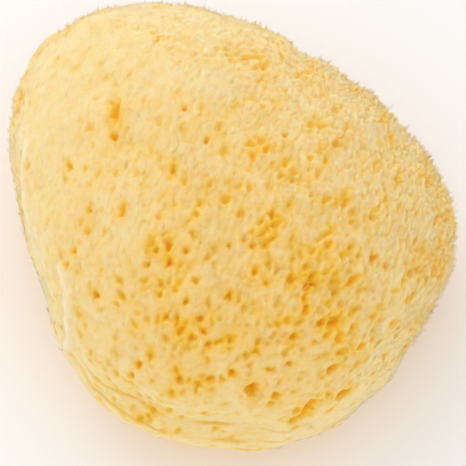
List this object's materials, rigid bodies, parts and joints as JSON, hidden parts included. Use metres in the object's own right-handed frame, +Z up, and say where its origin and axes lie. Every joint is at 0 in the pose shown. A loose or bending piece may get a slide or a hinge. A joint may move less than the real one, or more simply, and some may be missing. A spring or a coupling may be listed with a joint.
{
  "type": "natural bath sponge",
  "caption": "Domed natural bath sponge with a soft, finely pored surface and a flat cut underside to rest on.",
  "frame": {"origin": "on the cut underside, below the middle of the sponge's bounding box", "axes": "+Z is up, from the cut underside to the top of the dome; +Y is towards the back, where the sponge is deepest; +X is towards its right"},
  "size_m": [0.1364, 0.1416, 0.0755],
  "materials": {
    "spongin_fibre": "dry, matt, soft open fibre, pale cream yellow at the tips and golden orange down in the pores"
  },
  "bodies": {
    "root": {"sponge": "spongin_fibre"}
  },
  "joints": []
}
